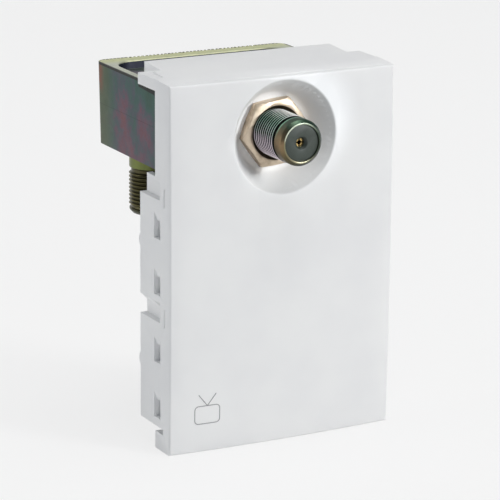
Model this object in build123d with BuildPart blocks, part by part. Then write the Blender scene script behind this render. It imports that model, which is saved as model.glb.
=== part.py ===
import os
from math import atan2, cos, degrees, pi, radians, sin

from build123d import *

# TV antenna socket module: a 50 x 75 mm wall insert with a front coaxial socket.
# X runs to the right as seen from the room, -Y towards the room, +Z up.
# The origin is the middle of the seat plane, where the cover's rim meets the mounting frame.

# Front cover, face and walls
face_width = 50.0
face_height = 75.0
face_bow_across = 0.85
face_bow_up = 0.42
face_wall = 1.2
face_edge_round = 0.45
rim_depth = 6.35
side_wall = 1.6
bottom_wall = 1.6
top_wall_thickness = 2.0
face_block_overrun = 2.0

# Round dish around the front port
port_below_top = 12.05
dish_diameter = 22.7
dish_floor_diameter = 15.5
dish_depth = 5.0
dish_wall = 1.4
dish_floor_round = 2.2

# Top wall, which reaches back over the housing
top_wall_reach = 19.4
top_wall_rise = 1.1
top_full_reach = 6.9
top_middle_reach = 11.8
top_middle_width = 45.6
top_rear_width = 42.0
ledge_reach = 14.0
ledge_drop = 0.55

# Latch arms down both sides
arm_reach = 13.1
arm_wall = 1.2
pad_height = 1.5
lip_height = 3.5
lip_slot = 1.2
lip_slot_start = 2.9
upper_pad = (30.6, 51.5)
lower_pad = (4.7, 26.5)
pad_shoulder = 2.7
pad_front = 4.3
pad_foot_slope = 1.5
pocket_bottoms = (6.4, 18.0, 32.0, 43.5)
pocket_height = 3.55
pocket_width = 2.9
pocket_front = 4.0
pocket_depth = 1.2
pocket_ramp = 1.7
nib_heights = (16.9, 41.6)
nib_radius = 1.7
nib_proud = 0.6
slit_heights = (27.8, 52.3)
slit_length = 3.8
slit_width = 0.35
slit_depth = 0.8
slit_front = 2.15
inner_rib = 1.2
inner_rib_depth = 2.6

# Diecast housing
housing_width = 43.6
housing_length = 34.3
housing_height = 17.05
housing_draft = 1.2
housing_corner = 2.4
housing_side_wall = 1.8
housing_front_wall = 1.8
housing_back_wall = 3.6
housing_floor = 1.8
housing_to_top_wall = 0.6
rim_recess = 1.7
recess_corner = 5.0
lid_ledge = 1.0
cavity_corner = 3.0
front_boss_diameter = 13.0
front_boss = 0.5
arm_gap = 0.2

# Threaded barrels, all of one kind
thread_diameter = 9.525
collar_length = 3.0
collar_undercut = 0.08
tip_chamfer = 0.7
front_barrel_proud = 7.75
port_spacing = 28.0
port_from_back = 10.8
port_length = 13.3

# Plastic plugs and spring contacts
plug_diameter = 7.4
plug_fit = 0.02
plug_set_back = 0.35
plug_front = 1.0
plug_length = 10.5
entry_diameter = 1.7
entry_mouth = 2.7
entry_flare_depth = 0.6
contact_diameter = 2.4
contact_fit = 0.02
contact_length = 6.5
contact_bore = 0.9
contact_slit = 0.3
contact_slit_length = 2.6
contact_end_wall = 0.8
tail_diameter = 1.0
tail_overlap = 3.0
tail_stub = 1.4

# Lock nut
nut_across_flats = 13.0
nut_height = 2.4
nut_turn = 6.4
nut_fit = 0.05
nut_face_inset = 0.15
nut_chamfer_slope = 0.55
nut_countersink = 12.0
nut_countersink_depth = 0.7
cover_hole_fit = 0.15

# Lid
lid_thickness = 0.8
lid_fit = 0.15

# Circuit board and what stands on it
board_thickness = 1.0
board_fit = 0.4
board_post = 3.0
tail_hole_fit = 0.1
tap_core_size = (7.0, 6.0, 3.6)
tap_core_hole = 1.7
tap_core_pitch = 3.2
tap_core_place = (-9.5, -1.0)
tap_wire_offset = 0.4
match_core_diameter = 6.0
match_core_hole = 2.6
match_core_height = 2.4
match_core_round = 0.5
match_core_place = (9.5, -1.0)
match_turns = 7
match_winding_share = 0.9
match_wind_clearance = 0.55
wire_diameter = 0.5
wire_gap = 0.1
choke_diameter = 3.0
choke_pitch = 0.8
choke_turns = 5
choke_place = (0.0, 6.0)
capacitor_size = (2.0, 1.25, 0.9)
resistor_size = (2.0, 1.25, 0.55)
capacitor_places = ((-3.6, -6.0), (3.6, -6.0))
port_capacitor_offset = 3.4
resistor_places = ((-5.0, 10.0), (5.0, 10.0), (0.0, -1.0))
solder_diameter = 2.6
solder_height = 0.8
solder_taper = 35
tail_joint_length = 1.8
tail_seam = 0.4
ground_solder_size = (3.0, 1.2)

# Planes and lines that several pieces share
half_width = face_width / 2
z_top = face_height / 2
z_bottom = -face_height / 2
y_face = -rim_depth
y_floor = y_face + dish_depth
y_housing = y_floor + dish_wall
z_port = z_top - port_below_top
z_under_top = z_top - top_wall_thickness
housing_top = z_under_top - housing_to_top_wall
housing_bottom = housing_top - housing_height
y_box_front = y_housing + front_boss
y_box_back = y_box_front + housing_length
y_box_middle = (y_box_front + y_box_back) / 2
arm_top = housing_bottom - arm_gap
thread_radius = thread_diameter / 2
y_barrel_tip = y_face - front_barrel_proud
y_ports = y_box_back - port_from_back
z_port_tip = housing_bottom - port_length
floor_top = housing_bottom + housing_floor
lid_seat = housing_top - rim_recess - lid_thickness
board_top = z_port - tail_diameter / 2
board_bottom = board_top - board_thickness
recess_width = housing_width - 2 * housing_side_wall
recess_front = y_box_front + housing_front_wall
recess_back = y_box_back - housing_back_wall
recess_length = recess_back - recess_front
recess_middle = (recess_front + recess_back) / 2
cavity_width = recess_width - 2 * lid_ledge
cavity_length = recess_length - 2 * lid_ledge

os.makedirs("parts", exist_ok=True)


def save(piece, name):
    """Label one finished piece and write it out."""
    piece.part.label = name
    export_step(piece.part, f"parts/{name}.step")


def from_bottom(height):
    """A height above the cover's lower edge, in the part's own frame."""
    return z_bottom + height


def from_face(depth):
    """A depth behind the face's side edges, in the part's own frame."""
    return y_face + depth


def block(x, y, z, mode=Mode.ADD):
    """A box between two values along each axis."""
    middle = tuple((low + high) / 2 for low, high in (x, y, z))
    with Locations(middle):
        Box(x[1] - x[0], y[1] - y[0], z[1] - z[0], mode=mode)


def both_sides(x):
    """The same span along X on the left and on the right."""
    return (-x[1], -x[0]), x


def port_plane(x, y, z, inward):
    """A plane on a barrel's tip whose normal points into the barrel."""
    return Plane(origin=(x, y, z), x_dir=(1, 0, 0), z_dir=inward)


front_port = port_plane(0, y_barrel_tip, z_port, (0, 1, 0))
left_port = port_plane(-port_spacing / 2, y_ports, z_port_tip, (0, 0, 1))
right_port = port_plane(port_spacing / 2, y_ports, z_port_tip, (0, 0, 1))


# The face bows gently both ways: its cross section is an arc, turned about a far axis
bow_up_radius = ((face_height / 2) ** 2 + face_bow_up**2) / (2 * face_bow_up)
bow_axis = y_face - face_bow_up + bow_up_radius
bow_angle = 1.2 * face_height / 2 / bow_up_radius
bow_plane = Plane(
    origin=(0, bow_axis, 0),
    x_dir=(1, 0, 0),
    z_dir=(0, sin(bow_angle), cos(bow_angle)),
)
with BuildPart() as face_block:
    with BuildSketch(bow_plane):
        with BuildLine():
            Polyline(
                (-half_width, -bow_up_radius),
                (-half_width, face_block_overrun - bow_axis),
                (half_width, face_block_overrun - bow_axis),
                (half_width, -bow_up_radius),
            )
            ThreePointArc(
                (-half_width, -bow_up_radius),
                (0, -bow_up_radius - face_bow_across),
                (half_width, -bow_up_radius),
            )
        make_face()
    revolve(axis=Axis((0, bow_axis, 0), (1, 0, 0)), revolution_arc=2 * degrees(bow_angle))
    block(
        (-half_width, half_width),
        (2 * y_face, 0),
        (z_bottom, z_top),
        mode=Mode.INTERSECT,
    )
    face_edges = face_block.edges().filter_by(
        lambda edge: all(abs(v.Y - y_face) < 0.01 for v in edge.vertices())
    )
    fillet(face_edges, radius=face_edge_round)

# The top wall rises a little towards its back and narrows in two steps
z_top_rear = z_top + top_wall_rise
z_ledge = z_top + top_wall_rise * ledge_reach / top_wall_reach - ledge_drop
with BuildPart() as top_wall:
    with BuildSketch(Plane.XY.offset(z_under_top)):
        with BuildLine():
            Polyline(
                (0, from_face(face_wall)),
                (half_width, from_face(face_wall)),
                (half_width, from_face(top_full_reach)),
                (top_middle_width / 2, from_face(top_full_reach)),
                (top_middle_width / 2, from_face(top_middle_reach)),
                (top_rear_width / 2, from_face(top_middle_reach)),
                (top_rear_width / 2, from_face(top_wall_reach)),
                (0, from_face(top_wall_reach)),
                close=True,
            )
        make_face()
        mirror(about=Plane.YZ)
    extrude(amount=z_top_rear - z_under_top)
    with BuildSketch(Plane.YZ):
        with BuildLine():
            Polyline(
                (y_face, z_top),
                (from_face(top_wall_reach), z_top_rear),
                (from_face(top_wall_reach), z_under_top),
                (y_face, z_under_top),
                close=True,
            )
        make_face()
    extrude(amount=half_width, both=True, mode=Mode.INTERSECT)
    block(
        (-half_width, half_width),
        (from_face(top_full_reach - side_wall), from_face(ledge_reach)),
        (z_under_top, z_ledge),
    )

# The dish is a cone with a flat floor, set close under the cover's top edge
dish_radius = dish_diameter / 2
dish_floor_radius = dish_floor_diameter / 2
y_dish_rim = y_face - face_bow_across
dish_slope = (dish_radius - dish_floor_radius) / (y_floor - y_dish_rim)
dish_plane = Plane.XY.offset(z_port)
port_axis = Axis((0, 0, z_port), (0, 1, 0))
y_inside = y_face + face_wall
cover_hole = thread_radius + cover_hole_fit
with BuildPart() as dish_shell:
    with BuildSketch(dish_plane):
        Polygon(
            (cover_hole, y_inside),
            (dish_floor_radius + dish_wall + dish_slope * (y_floor - y_inside), y_inside),
            (dish_floor_radius + dish_wall, y_floor),
            (dish_floor_radius + dish_wall, y_housing),
            (cover_hole, y_housing),
            align=None,
        )
    revolve(axis=port_axis)
    block((-half_width, half_width), (y_face, y_housing), (z_bottom, z_under_top), Mode.INTERSECT)
with BuildPart() as dish_space:
    with BuildSketch(dish_plane):
        Polygon(
            (0, y_dish_rim - 2),
            (dish_radius + 2 * dish_slope, y_dish_rim - 2),
            (dish_floor_radius, y_floor),
            (0, y_floor),
            align=None,
        )
    revolve(axis=port_axis)
    fillet(dish_space.edges().group_by(Axis.Y)[-1], radius=dish_floor_round)

arm_span = both_sides((half_width - pad_height - arm_wall, half_width))
pad_span = both_sides((half_width - pad_height, half_width))
with BuildPart() as front_cover:
    add(face_block.part)
    block(
        (side_wall - half_width, half_width - side_wall),
        (y_inside, 1),
        (z_bottom + bottom_wall, z_under_top),
        mode=Mode.SUBTRACT,
    )
    add(top_wall.part)
    add(dish_shell.part)
    for x in arm_span:
        block(x, (y_inside, from_face(arm_reach)), (from_bottom(lower_pad[0]), arm_top))
    for x in (-dish_floor_radius, dish_floor_radius):
        block(
            (x - inner_rib / 2, x + inner_rib / 2),
            (y_inside, y_inside + inner_rib_depth),
            (z_bottom + bottom_wall, z_port - dish_floor_radius),
        )
    add(dish_space.part, mode=Mode.SUBTRACT)
    # Steps in the arms leave the two raised pads, each with a sloped front shoulder
    for low, high in ((upper_pad[1], arm_top - z_bottom), (lower_pad[1], upper_pad[0])):
        with BuildSketch(Plane.XY.offset(from_bottom(low))):
            with BuildLine():
                Polyline(
                    (half_width + 1, from_face(pad_front)),
                    (half_width, from_face(pad_front)),
                    (half_width - pad_height, from_face(pad_front + pad_shoulder)),
                    (half_width - pad_height, from_face(arm_reach + 1)),
                    (half_width + 1, from_face(arm_reach + 1)),
                    close=True,
                )
            make_face()
            mirror(about=Plane.YZ)
        extrude(amount=high - low, mode=Mode.SUBTRACT)
    for x, tip in zip(pad_span, (-half_width, half_width)):
        root = tip - pad_height if tip > 0 else tip + pad_height
        with BuildSketch(Plane.XZ.offset(-from_face(arm_reach))):
            foot = from_bottom(upper_pad[0])
            Polygon((tip, foot), (root, foot), (root, foot - pad_foot_slope), align=None)
        extrude(amount=arm_reach - pad_front - pad_shoulder)
        for height in nib_heights:
            centre = from_face(arm_reach + nib_proud - nib_radius)
            with Locations(Location(((x[0] + x[1]) / 2, centre, from_bottom(height)), (0, 90, 0))):
                Cylinder(nib_radius, pad_height)
        for height in pocket_bottoms:
            top = from_bottom(height + pocket_height)
            depth = pocket_depth if tip < 0 else -pocket_depth
            y = (from_face(pocket_front), from_face(pocket_front + pocket_width))
            block(sorted((tip, tip + depth)), y, (from_bottom(height), top), Mode.SUBTRACT)
            with BuildSketch(Plane.XZ.offset(-y[1])):
                Polygon((tip, top), (tip + depth / 2, top), (tip, top + pocket_ramp), align=None)
            extrude(amount=pocket_width, mode=Mode.SUBTRACT)
        for height in slit_heights:
            depth = slit_depth if tip < 0 else -slit_depth
            block(
                sorted((tip, tip + depth)),
                (from_face(slit_front), from_face(slit_front + slit_width)),
                (from_bottom(height - slit_length / 2), from_bottom(height + slit_length / 2)),
                Mode.SUBTRACT,
            )
    for x in both_sides((half_width - 2 * side_wall, half_width + 1)):
        block(
            x,
            (from_face(lip_slot_start), from_face(arm_reach)),
            (from_bottom(lip_height), from_bottom(lip_height + lip_slot)),
            Mode.SUBTRACT,
        )
save(front_cover, "front_cover")

# One casting: the box with its sloped sides, the lid recess and three threaded barrels
top_down = Plane(origin=(0, 0, housing_top), x_dir=(1, 0, 0), z_dir=(0, 0, -1))
plug_bore = plug_diameter / 2 + plug_fit
plug_end = plug_set_back + plug_length
board_width = cavity_width - 2 * board_fit
board_length = cavity_length - 2 * board_fit
with BuildPart() as zinc_housing:
    with BuildSketch(top_down):
        with Locations((0, -y_box_middle)):
            RectangleRounded(housing_width, housing_length, housing_corner)
    extrude(amount=housing_height, taper=housing_draft)
    with BuildSketch(top_down):
        with Locations((0, -recess_middle)):
            RectangleRounded(recess_width, recess_length, recess_corner)
    extrude(amount=rim_recess + lid_thickness, mode=Mode.SUBTRACT)
    with BuildSketch(top_down):
        with Locations((0, -recess_middle)):
            RectangleRounded(cavity_width, cavity_length, cavity_corner)
    extrude(amount=housing_top - floor_top, mode=Mode.SUBTRACT)
    with BuildSketch(Plane.XY.offset(floor_top)):
        with Locations((0, recess_middle)):
            with GridLocations(board_width - board_post, board_length - board_post, 2, 2):
                Circle(board_post / 2)
    extrude(amount=board_bottom - floor_top)
    with BuildSketch(front_port.offset(y_housing - y_barrel_tip)):
        Circle(front_boss_diameter / 2)
    extrude(amount=front_boss + housing_front_wall)
    for port, length in (
        (front_port, y_housing - y_barrel_tip),
        (left_port, port_length),
        (right_port, port_length),
    ):
        with BuildSketch(port):
            Circle(thread_radius - collar_undercut)
        extrude(amount=collar_length)
        chamfer(
            zinc_housing.edges(Select.LAST).filter_by(GeomType.CIRCLE).sort_by_distance(port.origin)[0],
            length=tip_chamfer,
        )
        with BuildSketch(port.offset(collar_length)):
            Circle(thread_radius)
        extrude(amount=length - collar_length + front_boss)
        with BuildSketch(port):
            Circle(plug_bore)
        extrude(amount=plug_end, mode=Mode.SUBTRACT)
        with BuildSketch(port):
            Circle(contact_diameter / 2 + contact_fit)
        extrude(amount=length + housing_floor + 2 * lid_ledge + front_boss, mode=Mode.SUBTRACT)
save(zinc_housing, "zinc_housing")

# The lock nut clamps the cover's dish floor against the housing's front boss
nut_plane = Plane(
    origin=(0, y_floor, z_port),
    x_dir=(cos(radians(nut_turn)), 0, sin(radians(nut_turn))),
    z_dir=(0, -1, 0),
)
nut_corner_radius = nut_across_flats / 3**0.5
y_nut_front = y_floor - nut_height
chamfer_depth = (nut_corner_radius - nut_across_flats / 2 + nut_face_inset) * nut_chamfer_slope
with BuildPart() as lock_nut:
    with BuildSketch(nut_plane):
        RegularPolygon(nut_across_flats / 2, 6, major_radius=False)
    extrude(amount=nut_height)
    with BuildSketch(dish_plane):
        Polygon(
            (0, y_nut_front),
            (nut_across_flats / 2 - nut_face_inset, y_nut_front),
            (nut_corner_radius, y_nut_front + chamfer_depth),
            (nut_corner_radius, y_floor - chamfer_depth),
            (nut_across_flats / 2 - nut_face_inset, y_floor),
            (0, y_floor),
            align=None,
        )
    revolve(axis=port_axis, mode=Mode.INTERSECT)
    with BuildSketch(dish_plane):
        Polygon(
            (0, y_nut_front),
            (nut_countersink / 2, y_nut_front),
            (thread_radius + nut_fit, y_nut_front + nut_countersink_depth),
            (thread_radius + nut_fit, y_floor),
            (0, y_floor),
            align=None,
        )
    revolve(axis=port_axis, mode=Mode.SUBTRACT)
save(lock_nut, "lock_nut")

# The lid lies on a ledge in the housing's top recess
with BuildPart() as housing_lid:
    with BuildSketch(Plane.XY.offset(lid_seat)):
        with Locations((0, recess_middle)):
            RectangleRounded(
                recess_width - 2 * lid_fit,
                recess_length - 2 * lid_fit,
                recess_corner - lid_fit,
            )
    extrude(amount=lid_thickness)
save(housing_lid, "housing_lid")


def barrel_plug(port):
    """The insulating plug of one barrel: a flared entry, a guide hole and a contact chamber."""
    face = port.offset(plug_set_back)
    with BuildPart() as plug:
        with BuildSketch(face):
            Circle(plug_diameter / 2)
        extrude(amount=plug_length)
        with BuildSketch(face.offset(plug_front)):
            Circle(contact_diameter / 2 + contact_fit)
        extrude(amount=plug_length - plug_front, mode=Mode.SUBTRACT)
        with BuildSketch(face):
            Circle(entry_diameter / 2)
        extrude(amount=plug_front, mode=Mode.SUBTRACT)
        with BuildSketch(face):
            Circle(entry_mouth / 2)
        flare = 90 - degrees(atan2(entry_flare_depth, (entry_mouth - entry_diameter) / 2))
        extrude(amount=entry_flare_depth, taper=flare, mode=Mode.SUBTRACT)
    return plug


def spring_contact(port, tail_length):
    """The slit spring tube that grips a cable's centre wire, with its tail to the board."""
    mouth = port.offset(plug_set_back + plug_front)
    with BuildPart() as contact:
        with BuildSketch(mouth):
            Circle(contact_diameter / 2)
        extrude(amount=contact_length)
        with BuildSketch(mouth.offset(contact_length)):
            Circle(tail_diameter / 2)
        extrude(amount=tail_length)
        with BuildSketch(mouth):
            Circle(contact_bore / 2)
        extrude(amount=contact_length - contact_end_wall, mode=Mode.SUBTRACT)
        with BuildSketch(mouth):
            Rectangle(contact_slit, contact_diameter + 1)
            Rectangle(contact_diameter + 1, contact_slit)
        extrude(amount=contact_slit_length, mode=Mode.SUBTRACT)
    return contact


tail_start = plug_set_back + plug_front + contact_length
y_board_front = recess_middle - board_length / 2
front_tail = y_board_front + tail_overlap - (y_barrel_tip + tail_start)
port_tail = board_top + tail_stub - (z_port_tip + tail_start)
for side, port, tail in (
    ("front", front_port, front_tail),
    ("left", left_port, port_tail),
    ("right", right_port, port_tail),
):
    save(barrel_plug(port), f"{side}_insulator")
    save(spring_contact(port, tail), f"{side}_contact")

# The circuit board stands on four posts, with a hole for each lower tail
with BuildPart() as circuit_board:
    with BuildSketch(Plane.XY.offset(board_bottom)):
        with Locations((0, recess_middle)):
            RectangleRounded(board_width, board_length, cavity_corner - board_fit)
        with Locations((-port_spacing / 2, y_ports), (port_spacing / 2, y_ports)):
            Circle(tail_diameter / 2 + tail_hole_fit, mode=Mode.SUBTRACT)
    extrude(amount=board_thickness)
save(circuit_board, "circuit_board")


def on_board(place, height=0.0):
    """A point above the circuit board's top, measured from the board's middle."""
    return place[0], recess_middle + place[1], board_top + height


# Tap core: a ferrite block with two holes along Y, and one wire looped through each way
core_width, core_length, core_height = tap_core_size
with BuildPart() as tap_core:
    with Locations(on_board(tap_core_place, core_height / 2)):
        Box(core_width, core_length, core_height)
    fillet(tap_core.edges().filter_by(Axis.Y), radius=core_height / 4)
    with Locations(Location(on_board(tap_core_place, core_height / 2), (90, 0, 0))):
        with Locations((-tap_core_pitch / 2, 0), (tap_core_pitch / 2, 0)):
            Cylinder(tap_core_hole / 2, core_length, mode=Mode.SUBTRACT)
save(tap_core, "tap_core")

wire_radius = wire_diameter / 2


def tap_loop(height, direction):
    """A wire from the board through one hole of the tap core and back through the other."""
    bend = core_length / 2 + wire_gap + wire_radius
    leg = direction * (bend + wire_diameter + wire_gap)
    half = tap_core_pitch / 2
    x, y, z = on_board(tap_core_place)
    corners = [
        (x - half, y + leg, z),
        (x - half, y + leg, z + height),
        (x - half, y - direction * bend, z + height),
        (x + half, y - direction * bend, z + height),
        (x + half, y + leg, z + height),
        (x + half, y + leg, z),
    ]
    with BuildPart() as loop:
        with BuildLine() as route:
            FilletPolyline(*corners, radius=wire_diameter)
        with BuildSketch(Plane(origin=corners[0], z_dir=(0, 0, 1))):
            Circle(wire_radius)
        sweep(path=route.wires()[0])
    return loop


save(tap_loop(core_height / 2 + tap_wire_offset, 1), "tap_primary")
save(tap_loop(core_height / 2 - tap_wire_offset, -1), "tap_secondary")

# Matching core: a flat ring, wound with one wire that clears it all round
ring_middle = (match_core_diameter + match_core_hole) / 4
ring_half = (match_core_diameter - match_core_hole) / 4
wind_across = ring_half + match_wind_clearance
wind_up = match_core_height / 2 + match_wind_clearance
match_centre = on_board(match_core_place, wind_up + wire_radius)
with BuildPart() as match_core:
    with Locations(match_centre):
        Cylinder(match_core_diameter / 2, match_core_height)
        Cylinder(match_core_hole / 2, match_core_height, mode=Mode.SUBTRACT)
    fillet(match_core.edges().filter_by(GeomType.CIRCLE), radius=match_core_round)
save(match_core, "match_core")


def winding_point(share):
    """A point of the matching winding, for a share of the way round the ring."""
    around = 2 * pi * share * match_winding_share
    turn = 2 * pi * match_turns * share - pi / 2
    radius = ring_middle + wind_across * cos(turn)
    return (
        match_centre[0] + radius * cos(around),
        match_centre[1] + radius * sin(around),
        match_centre[2] + wind_up * sin(turn),
    )


with BuildPart() as match_winding:
    with BuildLine() as winding_line:
        Spline(*[winding_point(step / (8 * match_turns)) for step in range(8 * match_turns + 1)])
    with BuildSketch(Plane(origin=winding_line.line @ 0, z_dir=winding_line.line % 0)):
        Circle(wire_radius)
    sweep(path=winding_line.wires()[0], transition=Transition.RIGHT)
save(match_winding, "match_winding")

# Choke coil: free turns of wire that lie on the board
choke_radius = (choke_diameter - wire_diameter) / 2
choke_length = choke_pitch * choke_turns
choke_x, choke_y, choke_z = on_board(choke_place, choke_radius + wire_radius)
choke_start = (choke_x - choke_length / 2, choke_y, choke_z)
with BuildPart() as choke_coil:
    with BuildLine() as choke_line:
        Helix(choke_pitch, choke_length, choke_radius, center=choke_start, direction=(1, 0, 0))
    with BuildSketch(Plane(origin=choke_line.line @ 0, z_dir=choke_line.line % 0)):
        Circle(wire_radius)
    sweep(path=choke_line.wires()[0])
save(choke_coil, "choke_coil")


def chips(size, places):
    """Small chip parts of one kind, flat on the board."""
    with BuildPart() as group:
        with Locations(*[on_board(place, size[2] / 2) for place in places]):
            Box(*size)
    return group


port_place = (port_spacing / 2 - port_capacitor_offset, y_ports - recess_middle)
port_capacitors = (port_place, (-port_place[0], port_place[1]))
save(chips(capacitor_size, capacitor_places + port_capacitors), "coupling_capacitors")
save(chips(resistor_size, resistor_places), "load_resistors")

# Solder: a joint round each tail, and three beads between the board's edge and the casting
below = (Align.CENTER, Align.MAX)
above = (Align.CENTER, Align.MIN)
with BuildPart() as contact_solder:
    for x in (-port_spacing / 2, port_spacing / 2):
        with BuildSketch(Plane.XY.offset(board_top)):
            with Locations((x, y_ports)):
                Circle(solder_diameter / 2)
        extrude(amount=solder_height, taper=solder_taper)
        with BuildSketch(Plane.XY.offset(board_top)):
            with Locations((x, y_ports)):
                Circle(tail_diameter / 2)
        extrude(amount=solder_height, mode=Mode.SUBTRACT)
    y_joint = y_board_front + tail_overlap / 2
    with BuildSketch(Plane.XZ.offset(-y_joint - tail_joint_length / 2)):
        with Locations((0, board_top)):
            Circle(solder_diameter / 2)
            Rectangle(solder_diameter, solder_diameter, align=below, mode=Mode.SUBTRACT)
            Rectangle(tail_seam, tail_diameter / 2, align=above, mode=Mode.SUBTRACT)
        with Locations((0, z_port)):
            Circle(tail_diameter / 2, mode=Mode.SUBTRACT)
    extrude(amount=tail_joint_length)
save(contact_solder, "contact_solder")

bead_length, bead_height = ground_solder_size
with BuildPart() as ground_solder:
    for x in both_sides((board_width / 2, cavity_width / 2)):
        block(
            x,
            (recess_middle - bead_length / 2, recess_middle + bead_length / 2),
            (board_bottom, board_bottom + bead_height),
        )
    block(
        (-bead_length / 2, bead_length / 2),
        (recess_middle + board_length / 2, recess_middle + cavity_length / 2),
        (board_bottom, board_bottom + bead_height),
    )
save(ground_solder, "ground_solder")
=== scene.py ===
import random
from math import atan2, radians, tau

import bpy
from mathutils import Matrix, Vector


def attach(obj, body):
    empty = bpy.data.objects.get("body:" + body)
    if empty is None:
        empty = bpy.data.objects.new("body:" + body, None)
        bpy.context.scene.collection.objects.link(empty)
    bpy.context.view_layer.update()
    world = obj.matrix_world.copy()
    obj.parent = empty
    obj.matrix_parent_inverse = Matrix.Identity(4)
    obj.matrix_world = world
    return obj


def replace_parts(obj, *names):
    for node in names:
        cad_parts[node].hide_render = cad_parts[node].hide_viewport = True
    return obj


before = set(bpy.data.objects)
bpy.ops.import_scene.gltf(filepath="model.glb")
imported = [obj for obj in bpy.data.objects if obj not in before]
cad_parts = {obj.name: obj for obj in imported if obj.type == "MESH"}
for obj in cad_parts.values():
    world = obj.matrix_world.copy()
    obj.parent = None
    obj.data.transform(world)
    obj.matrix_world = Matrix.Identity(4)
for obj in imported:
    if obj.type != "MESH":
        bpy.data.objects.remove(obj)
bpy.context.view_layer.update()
MM = 0.001

# Front cover: one injection moulding of white plastic, with a bowed face, a round dish for the
# port and two latch arms that snap into the mounting frame. It is a copy of its solid, with the
# dish's rim rounded over and every corner broken a little, as a mould leaves them.
HAIR = 0.01 * MM
WELD = 0.002 * MM
FLAT_ANGLE = radians(0.2)
SHARP_ANGLE = radians(32)
SMOOTH_ANGLE = radians(35)
UPRIGHT = (radians(90), 0, 0)
EDGE_BREAK = 0.14 * MM
DISH_AXIS_HEIGHT = 25.45 * MM
DISH_RIM_RADIUS = 11.36 * MM
DISH_WALL_SLOPE = 0.615
RIM_PLANE = 0.42 * MM
RIM_ROUND = 0.32 * MM
FACE_FRONT = -7.62 * MM
BOW_ACROSS = 0.85 * MM
BOW_UP = 0.42 * MM
HALF_FACE = Vector((25 * MM, 0, 37.5 * MM))
COVER_WHITE = (240, 240, 240)
COVER_SHADE = (235, 235, 236)


def pick(piece):
    """Make one piece the only selected object, and the active one."""
    bpy.ops.object.select_all(action="DESELECT")
    piece.select_set(True)
    bpy.context.view_layer.objects.active = piece


def finish_step(piece, kind, **settings):
    """Add a modifier, set it and apply it."""
    step = piece.modifiers.new(kind.lower(), kind)
    for name, value in settings.items():
        setattr(step, name, value)
    pick(piece)
    bpy.ops.object.modifier_apply(modifier=step.name)


def copy_of(node, name):
    """A new piece in the shape of a CAD node, with its loose triangles merged into one skin."""
    piece = bpy.data.objects.new(name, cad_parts[node].data.copy())
    bpy.context.scene.collection.objects.link(piece)
    piece.data.materials.clear()
    pick(piece)
    bpy.ops.mesh.customdata_custom_splitnormals_clear()
    bpy.ops.object.mode_set(mode="EDIT")
    bpy.ops.mesh.select_all(action="SELECT")
    bpy.ops.mesh.remove_doubles(threshold=WELD)
    bpy.ops.mesh.dissolve_limited(angle_limit=FLAT_ANGLE)
    bpy.ops.object.mode_set(mode="OBJECT")
    return piece


def carve(piece, tool):
    """Cut the tool's shape out of a piece, and clear the tool away."""
    finish_step(piece, "BOOLEAN", operation="DIFFERENCE", solver="EXACT", object=tool)
    bpy.data.objects.remove(tool)


def break_edges(piece, width):
    """Bevel every sharp edge, and shade what is left smooth."""
    finish_step(piece, "BEVEL", width=width, segments=2, limit_method="ANGLE", angle_limit=SHARP_ANGLE)
    bpy.ops.object.shade_smooth_by_angle(angle=SMOOTH_ANGLE)


def face_fall(x, z):
    """How far the bowed face lies behind its foremost point, at a place on it."""
    return BOW_ACROSS * (x / HALF_FACE.x) ** 2 + BOW_UP * (z / HALF_FACE.z) ** 2


def from_dish_axis(place):
    """How far a place lies from the axis of the dish."""
    return Vector((place.x, place.z - DISH_AXIS_HEIGHT)).length


def scale_round_dish(point, scale):
    """Move a point of a mesh towards the axis of the dish, or away from it."""
    point.co.x *= scale
    point.co.z = DISH_AXIS_HEIGHT + (point.co.z - DISH_AXIS_HEIGHT) * scale


def select_faces(piece, wanted):
    """In edit mode, leave only the faces selected whose middle and normal pass a test."""
    bpy.ops.object.mode_set(mode="OBJECT")
    for group in (piece.data.vertices, piece.data.edges):
        group.foreach_set("select", [False] * len(group))
    for face in piece.data.polygons:
        face.select = wanted(face.center, face.normal)
    bpy.ops.object.mode_set(mode="EDIT")


def select_edges(piece, wanted):
    """In edit mode, leave only the edges selected whose two ends pass a test."""
    bpy.ops.mesh.select_mode(type="EDGE")
    bpy.ops.mesh.select_all(action="DESELECT")
    bpy.ops.object.mode_set(mode="OBJECT")
    points = piece.data.vertices
    for edge in piece.data.edges:
        edge.select = all(wanted(points[end].co) for end in edge.vertices)
    bpy.ops.object.mode_set(mode="EDIT")


cover = copy_of("front_cover", "cover_moulding")

# The rim's tool is a shallow plug with a flange just above the face; its waist gives the rounding
FLANGE_RADIUS = DISH_RIM_RADIUS + 1.2 * MM
FLANGE_THICKNESS = 1 * MM
FLANGE_LIFT = 0.03 * MM
RIM_PLUG_DEPTH = 1.3 * MM
bpy.ops.mesh.primitive_cylinder_add(
    vertices=160,
    radius=FLANGE_RADIUS,
    depth=FLANGE_THICKNESS,
    location=(0, -FLANGE_THICKNESS / 2 - FLANGE_LIFT, DISH_AXIS_HEIGHT),
    rotation=UPRIGHT,
)
rim_tool = bpy.context.object
bpy.ops.object.transform_apply(location=True, rotation=True, scale=True)
bpy.ops.object.mode_set(mode="EDIT")
select_faces(rim_tool, lambda middle, normal: normal.y > 0.9)
bpy.ops.mesh.inset(thickness=FLANGE_RADIUS - DISH_RIM_RADIUS)
bpy.ops.mesh.extrude_region_move(TRANSFORM_OT_translate={"value": (0, RIM_PLUG_DEPTH, 0)})
narrow = 1 - DISH_WALL_SLOPE * RIM_PLUG_DEPTH / DISH_RIM_RADIUS
bpy.ops.transform.resize(value=(narrow, 1, narrow), center_override=(0, 0, DISH_AXIS_HEIGHT))


def on_rim(place):
    """Whether a place lies on the waist of the rim's tool."""
    return abs(from_dish_axis(place) - DISH_RIM_RADIUS) < HAIR and abs(place.y + FLANGE_LIFT) < HAIR


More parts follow.
